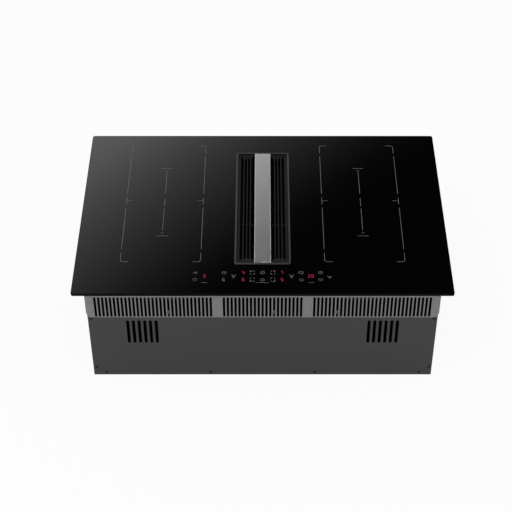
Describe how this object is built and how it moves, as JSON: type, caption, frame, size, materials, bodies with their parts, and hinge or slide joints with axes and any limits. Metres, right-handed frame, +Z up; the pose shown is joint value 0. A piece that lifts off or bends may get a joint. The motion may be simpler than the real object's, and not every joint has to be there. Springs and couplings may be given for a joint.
{
  "type": "downdraft induction cooktop",
  "caption": "Black glass induction cooktop with a central downdraft vent: lift-out grille, filter and tray over coils in a slotted chassis, and a fan casing with a flat rear outlet.",
  "frame": {"origin": "middle of the glass on the worktop plane, the underside of the worktop seal", "axes": "+X to the right along the glass, +Y to the back, +Z up"},
  "size_m": [0.78, 0.52, 0.2665],
  "materials": {
    "black_glass": "polished black glass-ceramic",
    "seal_foam": "closed-cell foam tape",
    "zinc_steel": "galvanised sheet steel",
    "black_coat": "satin black powder coat",
    "brushed_strip": "fine brushed, anodised",
    "filter_mesh": "expanded aluminium mesh",
    "tray_plastic": "moulded, satin",
    "dark_plastic": "moulded glass-filled plastic",
    "light_plastic": "moulded, matt",
    "mica": "pressed mica sheet",
    "ferrite": "sintered ferrite, matt",
    "sensor_ceramic": "white ceramic",
    "tray_aluminium": "mill finish",
    "circuit_board": "solder resist, satin",
    "copper_wire": "enamelled copper strand",
    "capacitor_sleeve": "shrink sleeve",
    "red_display": "tinted light guide",
    "casing_paint": "dark grey fine-texture powder coat",
    "black_screw": "black zinc",
    "zinc_screw": "bright zinc",
    "impeller_plastic": "moulded glass-filled plastic",
    "motor_metal": "pressed steel"
  },
  "bodies": {
    "root": {"air_shaft": "dark_plastic", "board_capacitors": "capacitor_sleeve", "board_chokes": "copper_wire", "board_standoffs": "dark_plastic", "bottom_cover": "casing_paint", "cable_gland": "dark_plastic", "casing_screws": "black_screw", "chassis_floor": "casing_paint", "chassis_left_wall": "zinc_steel", "chassis_rear_wall": "zinc_steel", "chassis_right_wall": "zinc_steel", "chassis_screws": "zinc_screw", "coil_left_back": "copper_wire", "coil_left_front": "copper_wire", "coil_right_back": "copper_wire", "coil_right_front": "copper_wire", "coil_tray_left": "tray_aluminium", "coil_tray_posts": "dark_plastic", "coil_tray_right": "tray_aluminium", "control_board": "circuit_board", "control_carrier": "dark_plastic", "cooling_fan_housing_left": "dark_plastic", "cooling_fan_housing_right": "dark_plastic", "fan_control_box": "dark_plastic", "ferrite_bars": "ferrite", "front_band": "zinc_steel", "glass_frame": "zinc_steel", "glass_top": "black_glass", "heat_sink_left": "tray_aluminium", "heat_sink_right": "tray_aluminium", "led_displays": "red_display", "lower_front_panel": "casing_paint", "lower_left_panel": "casing_paint", "lower_rear_panel": "casing_paint", "lower_right_panel": "casing_paint", "mica_insulators": "mica", "motor_stator": "motor_metal", "outlet_spigot": "dark_plastic", "power_board_left": "circuit_board", "power_board_right": "circuit_board", "scroll_base": "dark_plastic", "scroll_cover": "dark_plastic", "suction_duct": "dark_plastic", "temperature_sensors": "sensor_ceramic", "terminal_block": "light_plastic", "terminal_box": "light_plastic", "touch_pads": "sensor_ceramic", "vent_frame": "black_coat", "vent_seal": "seal_foam", "worktop_seal": "seal_foam"},
    "grille": {"grille": "black_coat", "grille_cover_strip": "brushed_strip"},
    "filter": {"filter_frame": "black_coat", "filter_mesh": "filter_mesh", "filter_handle": "black_coat"},
    "tray": {"overflow_tray": "tray_plastic"},
    "impeller": {"impeller": "impeller_plastic", "motor_rotor": "motor_metal"},
    "cooler_left": {"cooling_fan_rotor_left": "dark_plastic"},
    "cooler_right": {"cooling_fan_rotor_right": "dark_plastic"}
  },
  "joints": [
    {"name": "tray_lift", "type": "slide", "parent": "root", "child": "tray", "axis": [0, 0, 1], "range_m": [0, 0.3]},
    {"name": "filter_lift", "type": "slide", "parent": "tray", "child": "filter", "axis": [0, 0, 1], "range_m": [0, 0.14]},
    {"name": "grille_lift", "type": "slide", "parent": "filter", "child": "grille", "axis": [0, 0, 1], "range_m": [0, 0.06]},
    {"name": "impeller_spin", "type": "hinge", "parent": "root", "child": "impeller", "pos_m": [0.18925, -0.005, -0.224], "axis": [0, 0, 1], "continuous": true},
    {"name": "cooler_left_spin", "type": "hinge", "parent": "root", "child": "cooler_left", "pos_m": [-0.21125, -0.148, -0.074], "axis": [0, 0, 1], "continuous": true},
    {"name": "cooler_right_spin", "type": "hinge", "parent": "root", "child": "cooler_right", "pos_m": [0.21125, -0.148, -0.074], "axis": [0, 0, 1], "continuous": true}
  ]
}
